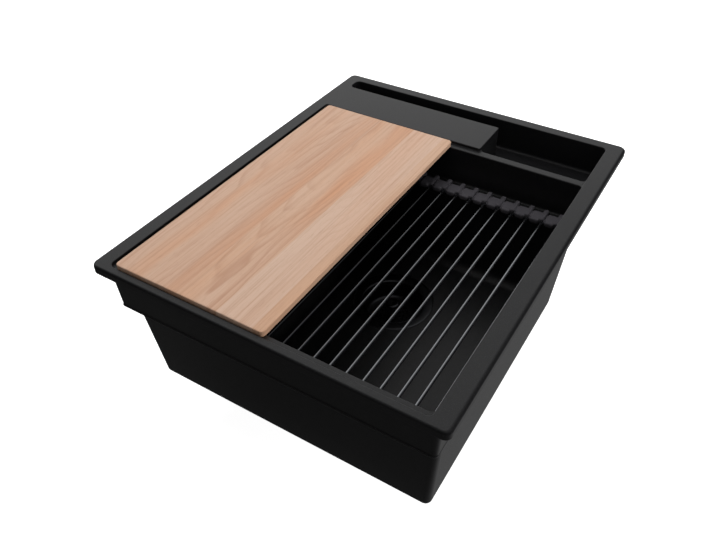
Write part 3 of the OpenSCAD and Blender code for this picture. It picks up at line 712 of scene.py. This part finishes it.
def strip_mesh(name, node, tabs_back, tab_l, material):
    """A soft strip: sleeves over the rods' ends, with noses and tabs, all melted together."""
    lo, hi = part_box(node)
    y_out = (hi.y if tabs_back else lo.y) / MM
    away = -1 if tabs_back else 1
    x_left, x_right = lo.x / MM, hi.x / MM
    z0, z1 = lo.z / MM, hi.z / MM
    strip_w, nose_l, nose_w = 17.0, 4.0, 12.5
    tab_w, tab_shift = 7.2, 1.7               # each tab's middle is this far left of its rod
    groove_w, groove_shift = 1.3, 2.4         # each groove's middle is this far right of a rod
    # Start and end, counted from the strip's outer edge, bottom, top, and radius of the edges
    web = (tab_l, tab_l + strip_w, z0, z0 + 5.6, 2.0)
    sleeve = (tab_l + 0.2, tab_l + strip_w - 0.2, z0, z1, 2.0)
    tab = (0, tab_l + 5, z0 + 0.3, z1 - 0.1, 2.3)
    nose = (tab_l + 3, tab_l + strip_w + nose_l, z0 + 0.4, z1 - 0.5, 2.2)
    corner = 2.4
    parts = []

    def block(x0, x1, v0, v1, h0, h1, r):
        """Rounded block from x0 to x1; v runs from the strip's outer edge towards the bowl."""
        ya, yb = sorted((y_out + away * v0, y_out + away * v1))
        rows = [(h0 + r - h, -d) for h, d in reversed(quarter(r, 3))]
        rows += [(h1 - r + h, -d) for h, d in quarter(r, 3)]
        loops = []
        for z, grow in rows:
            loops.append([Vector((p.x, p.y, z)) * MM
                          for p in outline(box_outline(x0, ya, x1, yb), corner, grow, 3)])
        parts.append(loft("block", loops))

    # A thin web under a row of blocks, with grooves between them
    block(x_left, x_right, *web)
    for i in range(ROD_COUNT):
        x = LAST_ROD_X - i * ROD_PITCH
        from_x = max(x_left, x + groove_shift - ROD_PITCH + groove_w / 2)
        block(from_x, x + groove_shift - groove_w / 2, *sleeve)
        block(x - tab_shift - tab_w / 2, x - tab_shift + tab_w / 2, *tab)
        if i < ROD_COUNT - 1:
            mid = x - ROD_PITCH / 2
            block(mid - nose_w / 2, mid + nose_w / 2, *nose)
    block(LAST_ROD_X + groove_shift + groove_w / 2, x_right, *sleeve)
    strip = parts[0]
    bpy.ops.object.select_all(action="DESELECT")
    for part in parts:
        part.select_set(True)
    bpy.context.view_layer.objects.active = strip
    bpy.ops.object.join()
    strip.name = name
    remesh = strip.modifiers.new("melt", "REMESH")
    remesh.mode = "VOXEL"
    remesh.voxel_size = 0.75 * MM
    smooth = strip.modifiers.new("smooth", "SMOOTH")
    smooth.factor = 0.5
    smooth.iterations = 4
    apply_modifiers(strip)
    strip.data.polygons.foreach_set("use_smooth", [True] * len(strip.data.polygons))
    dress(strip, material)
    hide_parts(node)
    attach(strip, "rack")


# ---------------------------------------------------------------- drain

def drain_pieces(steel):
    """The flange: a ring in the bowl's floor, with a deep cup that has six outlet holes."""
    flange_r, steel_t = 56.0, 1.2
    cup_floor = -38.0
    holes, hole_r, holes_at = 6, 7.5, 17
    profile = [(flange_r, -0.9), (flange_r, -0.4), (flange_r - 0.5, -0.02), (flange_r - 2, 0.0),
               (46.0, -0.1), (43.4, -0.8), (42.0, -2.2), (41.3, -4.5), (40.9, -34.0), (39.6, -36.8),
               (37.2, cup_floor), (3.2, cup_floor), (3.2, cup_floor - steel_t),
               (37.6, cup_floor - steel_t), (40.6, -37.8), (42.1, -34.5), (42.5, -5.0),
               (43.0, -3.0), (44.0, -1.9), (46.2, -steel_t), (flange_r - 0.3, -steel_t)]
    flange = lathe("strainer_flange", profile, DRAIN_AT, 128)
    for i in range(holes):
        a = 2 * math.pi / holes * i
        at = DRAIN_AT + Vector((math.cos(a), math.sin(a), 0)) * holes_at * MM
        cut_round(flange, "outlet_hole", at, hole_r, cup_floor - 4, cup_floor + 3, steps=32)
    finish_piece(flange, "drain_flange", "sink", steel)


def basket_pieces(steel):
    """The basket's cup with its sieve, and the knob that lifts it."""
    r_top, z_top, z_floor, t = 40.4, -4.0, -26.0, 0.9
    skirt_r, skirt_end = 25.0, -36.5
    post_r = 3.0
    sieve_r = 1.6
    profile = [(post_r, z_floor), (26.0, z_floor), (33.5, z_floor + 0.4), (36.4, z_floor + 2.4),
               (37.6, z_floor + 5.0), (38.6, z_top - 2.6), (39.3, z_top - 1.0),
               (r_top - 0.5, z_top), (r_top, z_top - 0.3), (r_top, z_top - 1.2),
               (39.6, z_top - 2.0), (38.5, z_floor + 4.6), (37.2, z_floor + 1.4),
               (34.0, z_floor - 0.6), (26.0, z_floor - t), (skirt_r, z_floor - t),
               (skirt_r, skirt_end), (24.1, skirt_end), (24.1, z_floor - t), (post_r, z_floor - t)]
    cup = lathe("strainer_basket", profile, DRAIN_AT, 128)
    for ring in (1, 2, 3):
        holes = 8 * ring
        for i in range(holes):
            a = 2 * math.pi * i / holes
            r = skirt_r * (0.22 + 0.22 * ring)
            at = DRAIN_AT + Vector((math.cos(a), math.sin(a), 0)) * r * MM
            cut_round(cup, "sieve", at, sieve_r, z_floor - 2, z_floor + 2, steps=14)
    finish_piece(cup, "basket_cup", "basket", steel)
    top, post_end = -3.0, -28.2
    profile = [(0.0, top - 0.8), (3.0, top - 0.5), (6.0, top), (8.0, top - 0.2), (9.4, top - 1.0),
               (10.0, top - 2.4), (9.7, top - 4.2), (8.4, top - 6.2), (6.6, top - 7.4),
               (4.4, top - 8.0), (3.3, top - 8.8), (post_r, top - 10.0), (post_r, post_end),
               (0.0, post_end)]
    knob = lathe("strainer_knob", profile, DRAIN_AT, 64, close=False)
    finish_piece(knob, "basket_knob", "basket", steel)


def overflow_pieces(steel):
    """The cover is a shallow dome on four feet, so that water runs in behind it."""
    # Local +Z is out of the bowl, so the cover grows towards -Z from the wall's inner face
    base = -WALL_ACROSS
    r, h, t = 24.0, 5.0, 1.2
    profile = [(2.6, base - h + 0.1), (8.0, base - h), (18.0, base - h), (21.5, base - h + 0.5),
               (23.4, base - h + 1.7), (r, base - h + 3.4), (r, base), (r - t, base),
               (r - t, base - h + 3.6), (22.2, base - h + 2.3), (20.8, base - h + 1.5),
               (17.6, base - h + t), (2.6, base - h + t)]
    cover = lathe("overflow_rose", profile, OVERFLOW_AT, 96, OVERFLOW_AXIS)
    # Four notches in its edge: blocks that stand along it, across it and up the axis
    up = OVERFLOW_AXIS @ Vector((0, 0, 1))
    for i in range(4):
        a = math.pi / 2 * (i + 0.5)
        across = OVERFLOW_AXIS @ Vector((math.cos(a), math.sin(a), 0))
        along = OVERFLOW_AXIS @ Vector((-math.sin(a), math.cos(a), 0))
        points = [OVERFLOW_AT + (across * u + along * v + up * w) * MM
                  for u in (18.0, 27.0) for v in (-9.0, 9.0) for w in (base - h + 2.4, base + 1)]
        faces = [(0, 1, 3, 2), (4, 6, 7, 5), (0, 4, 5, 1), (2, 3, 7, 6), (0, 2, 6, 4), (1, 5, 7, 3)]
        tool = new_object("notch", points, faces)
        fix_normals(tool)
        boolean(cover, tool, "DIFFERENCE")
    finish_piece(cover, "overflow_cover", "sink", steel)


# ---------------------------------------------------------------- hose

def hose_piece(material):
    """Ribbed hose on its CAD solid's route: straight, a curve with two handles, straight."""
    bore_r, wall, rib_h = 10.4, 1.2, 1.6
    rib_r = bore_r + wall + rib_h
    cuff_r = bore_r + wall + rib_h / 2
    gap = 0.3                                 # from a cuff to the shoulder that it is pushed up to
    down = OVERFLOW_AXIS @ Vector((0, 1, 0))
    out = OVERFLOW_AXIS @ Vector((0, 0, 1))
    # It starts below the overflow's housing, clear of its gasket and flange
    gasket_t, flange_t, collar_t = 2.5, 3.5, 2.0
    collar_r = cuff_r + 0.1 + collar_t
    housing_r, shoulder_h = 20.0, 2.0
    start_out = gasket_t + flange_t + collar_r + 0.5
    start = OVERFLOW_AT + (out * start_out + down * (housing_r + shoulder_h + gap)) * MM
    # It ends behind the drain's housing, on its inlet
    cup_r, cup_play, housing_t, inlet_l = 42.5, 1.5, 3.0, 13.0
    floor_gasket_t, inlet_drop = 3.0, 21.0
    reach = cup_r + cup_play + housing_t + inlet_l
    end = DRAIN_AT + Vector((0, reach + gap, -FLOOR_T - floor_gasket_t - inlet_drop)) * MM
    straight = 2 * rib_r * MM
    handle = 62 * MM
    end_dir = Vector((0, -1, 0))
    c0 = start + down * straight
    c1 = c0 + down * handle
    c3 = end - end_dir * straight
    c2 = c3 - end_dir * handle

    def curve(t):
        return (c0 * (1 - t) ** 3 + c1 * 3 * (1 - t) ** 2 * t + c2 * 3 * (1 - t) * t * t
                + c3 * t ** 3)

    samples = 400
    dense = [curve(k / samples) for k in range(samples + 1)]
    gone = [0.0]                              # length of the curve up to each sample
    for a, b in zip(dense, dense[1:]):
        gone.append(gone[-1] + (b - a).length)
    length = gone[-1] + 2 * straight

    def at(s):
        """Place and heading at a length along the hose."""
        if s <= straight:
            return start + down * s, down
        if s >= length - straight:
            return end - end_dir * (length - s), end_dir
        k = min(max(bisect_left(gone, s - straight) - 1, 0), samples - 1)
        f = (s - straight - gone[k]) / max(1e-9, gone[k + 1] - gone[k])
        return dense[k].lerp(dense[k + 1], f), (dense[k + 1] - dense[k]).normalized()

    # Stations are (length along the hose, radius): a cuff, the ribs, a cuff, and back in the bore
    cuff_l = 15 * MM
    cuff_edge = 0.4
    ribs_from = 0.3 * MM                      # before the cuff's end
    pitch = 4.0 * MM
    per_rib = 8
    bore_steps = 40
    sides = 40
    span = length - 2 * cuff_l
    ribs = round(span / pitch)
    stations = [(0.0, cuff_r - cuff_edge), (cuff_edge * MM, cuff_r), (cuff_l - ribs_from, cuff_r)]
    for i in range(ribs * per_rib + 1):
        s = cuff_l + span * i / (ribs * per_rib)
        wave = 0.5 - 0.5 * math.cos(2 * math.pi * i / per_rib)
        stations.append((s, rib_r - rib_h + rib_h * wave ** 0.8))
    stations += [(length - cuff_l + ribs_from, cuff_r), (length - cuff_edge * MM, cuff_r),
                 (length, cuff_r - cuff_edge)]
    stations += [(length - length * k / bore_steps, bore_r) for k in range(bore_steps + 1)]
    loops = []
    for s, r in stations:
        centre, head = at(s)
        u = head.cross(Vector((1, 0, 0))).normalized()
        v = head.cross(u)
        loops.append([centre + (u * math.cos(2 * math.pi * k / sides)
                                + v * math.sin(2 * math.pi * k / sides)) * r * MM
                      for k in range(sides)])
    loops.append(loops[0])
    hose = loft("ribbed_hose", loops, close_ends=False)
    finish_piece(hose, "overflow_hose", "sink", material, 50)


# ---------------------------------------------------------------- camera, floor, light

FLOOR_SEEN = 0.8                             # the sheet's own grey for the camera
FLOOR_BOUNCE = 0.07                          # its own grey for all other light
FLOOR_GLOW = 0.88                            # its glow where it is seen
FLOOR_MIRRORED = 0.23                        # its glow in mirrors
SKY_MIRRORED = 1.0                           # the sky's glow in mirrors, low behind the object
SKY_HIGH = 0.71                              # the share of that which it has higher up
SKY_OVERHEAD = 0.22                          # the least that it has right overhead
SKY_LIGHT = 0.14                             # the sky's glow as a light
FRONT_MIRRORED = 0.01                        # glow of sheet and sky in mirrors, towards the front
RIGHT_MIRRORED = 0.05                        # the share of their glow that is left on the right


def camera():
    """The photograph's camera, solved from the rim's edges."""
    photo_w_px, focal_px = 716, 704.54
    yaw, pitch, roll = math.radians(31.453), math.radians(40.78), math.radians(-0.118)
    stand = place(568.27, -355.66, 508.31)
    data = bpy.data.cameras.new("camera")
    data.sensor_width = 36.0
    data.lens = focal_px / photo_w_px * data.sensor_width
    data.clip_end = 50
    cam = bpy.data.objects.new("camera", data)
    forward = Vector((-math.sin(yaw) * math.cos(pitch), math.cos(yaw) * math.cos(pitch),
                      -math.sin(pitch)))
    right0 = Vector((math.cos(yaw), math.sin(yaw), 0))
    up0 = right0.cross(forward)
    right = right0 * math.cos(roll) + up0 * math.sin(roll)
    up = up0 * math.cos(roll) - right0 * math.sin(roll)
    rot = Matrix((right, up, -forward)).transposed()
    cam.matrix_world = Matrix.Translation(stand) @ rot.to_4x4()
    bpy.context.scene.collection.objects.link(cam)
    bpy.context.scene.camera = cam


def floor():
    """A white sheet with the object's shadow on it. In mirrors it glows dimly, and is dark
    towards the front and far to the right."""
    size = 6.0
    below = 0.002
    z = cad_bounds[0][2] - below
    obj = new_object("floor", [(-size, -size, z), (size, -size, z), (size, size, z),
                               (-size, size, z)], [(0, 1, 2, 3)])
    m = Nodes("pale_floor")
    path = m.add("ShaderNodeLightPath")
    m.set(Base_Color=m.mix(path.outputs["Is Camera Ray"], grey(FLOOR_BOUNCE), grey(FLOOR_SEEN)),
          Roughness=0.8, Specular_IOR_Level=0.0)
    split = m.add("ShaderNodeSeparateXYZ")
    m.link(m.add("ShaderNodeTexCoord").outputs["Object"], split.inputs["Vector"])
    behind = m.map_range(split.outputs["Y"], FRONT_MIRRORED, FLOOR_MIRRORED, -0.29, -0.2)
    beside = m.map_range(split.outputs["X"], 1.0, RIGHT_MIRRORED, 0.45, 0.7)
    mirrored = m.math("MULTIPLY", path.outputs["Is Glossy Ray"],
                      m.math("MULTIPLY", behind, beside))
    seen = m.math("MULTIPLY", path.outputs["Is Camera Ray"], FLOOR_GLOW)
    seen = m.math("MAXIMUM", seen, mirrored)
    seen = m.math("MAXIMUM", seen, path.outputs["Is Transmission Ray"])
    glow = m.add("ShaderNodeEmission")
    m.link(seen, glow.inputs["Strength"])
    both = m.add("ShaderNodeAddShader")
    m.link(m.shader.outputs["BSDF"], both.inputs[0])
    m.link(glow.outputs["Emission"], both.inputs[1])
    m.link(both.outputs["Shader"], m.tree.nodes["Material Output"].inputs["Surface"])
    dress(obj, m.mat)


def world():
    """White where it is seen. In mirrors it is white low behind the object, dimmer higher up, and
    dark towards the front and the right except right overhead. As a light it is dim."""
    w = bpy.data.worlds.new("studio")
    bpy.context.scene.world = w
    m = Nodes("studio", w)
    path = m.add("ShaderNodeLightPath")
    split = m.add("ShaderNodeSeparateXYZ")
    m.link(m.add("ShaderNodeTexCoord").outputs["Generated"], split.inputs["Vector"])
    behind = m.map_range(split.outputs["Y"], FRONT_MIRRORED, SKY_MIRRORED, -0.35, 0.25)
    beside = m.map_range(split.outputs["X"], 1.0, RIGHT_MIRRORED, -0.24, 0.32)
    height = m.map_range(split.outputs["Z"], 1.0, SKY_HIGH, 0.3, 0.55)
    overhead = m.map_range(split.outputs["Z"], 0.0, SKY_OVERHEAD, 0.45, 0.85)
    mirrored = m.math("MULTIPLY", m.math("MULTIPLY", behind, beside), height)
    mirrored = m.math("MULTIPLY", path.outputs["Is Glossy Ray"],
                      m.math("MAXIMUM", mirrored, overhead))
    seen = m.math("MAXIMUM", path.outputs["Is Camera Ray"], mirrored)
    seen = m.math("MAXIMUM", seen, path.outputs["Is Transmission Ray"])
    light = m.math("SUBTRACT", 1.0, path.outputs["Is Glossy Ray"])
    light = m.math("MULTIPLY", light, SKY_LIGHT)
    background = m.tree.nodes["Background"]
    m.link(m.math("MAXIMUM", seen, light), background.inputs["Strength"])
    background.inputs["Color"].default_value = (1, 1, 1, 1)


def lamp(name, at, target, size, power):
    """A soft lamp that no mirror shows: places and size in metres, power in watts."""
    data = bpy.data.lights.new(name, "AREA")
    data.shape = "RECTANGLE"
    data.size, data.size_y = size
    data.energy = power
    obj = bpy.data.objects.new(name, data)
    obj.location = at
    direction = Vector(target) - Vector(at)
    obj.rotation_euler = direction.to_track_quat("-Z", "Y").to_euler()
    obj.visible_glossy = False
    bpy.context.scene.collection.objects.link(obj)


def lights():
    """Most light comes from above and from the right, and very little from the front."""
    lamp("top", (-0.35, 0.35, 1.9), (0, 0, 0), (1.8, 1.8), 32)
    lamp("back", (-0.3, 2.1, 1.0), (0, 0, 0), (2.0, 1.0), 8)
    lamp("right", (1.9, 0.3, 0.5), (0, 0, -0.1), (1.2, 0.8), 24)
    lamp("front", (0.5, -2.0, 0.7), (0, 0, 0), (1.4, 0.8), 3)


# ---------------------------------------------------------------- build

camera()
floor()
world()
lights()
bpy.context.scene.view_settings.view_transform = "Standard"

STEEL = steel_material("satin_steel", srgb(186, 188, 192), 0.3)
ROD_STEEL = steel_material("rod_steel", srgb(158, 160, 164), 0.15, (900, 6, 900), 0.05)
RUBBER = rubber_material("black_rubber", srgb(34, 35, 38))
SILICONE = rubber_material("dark_silicone", srgb(62, 60, 64), 0.72)
# A darker copy of the satin steel, given to the drain's pieces in the bowl
DARK_STEEL = steel_material("black_steel", srgb(92, 93, 96), 0.3)
PLASTIC = plastic_material("moulded_plastic", srgb(52, 54, 58))
HOSE = plastic_material("hose_plastic", srgb(138, 141, 146), 0.42)
BRASS = brass_material()

sink_shell()
cutting_board()
strip_mesh("front_strip", "rack_front_strip", False, 5.5, SILICONE)
strip_mesh("back_strip", "rack_back_strip", True, 8.9, SILICONE)
drain_pieces(DARK_STEEL)
basket_pieces(DARK_STEEL)
overflow_pieces(DARK_STEEL)
hose_piece(HOSE)

# These pieces keep their CAD meshes and get a material only
for node, material in (("rack_rods", ROD_STEEL), ("flange_gasket", RUBBER), ("body_gasket", RUBBER),
                       ("drain_body", PLASTIC), ("clamp_screw", STEEL), ("screw_insert", BRASS),
                       ("basket_seal", RUBBER), ("basket_clip", STEEL), ("overflow_screw", STEEL),
                       ("overflow_gasket", RUBBER), ("overflow_housing", PLASTIC),
                       ("hose_collars", PLASTIC)):
    dress(frame["nodes"][node], material)
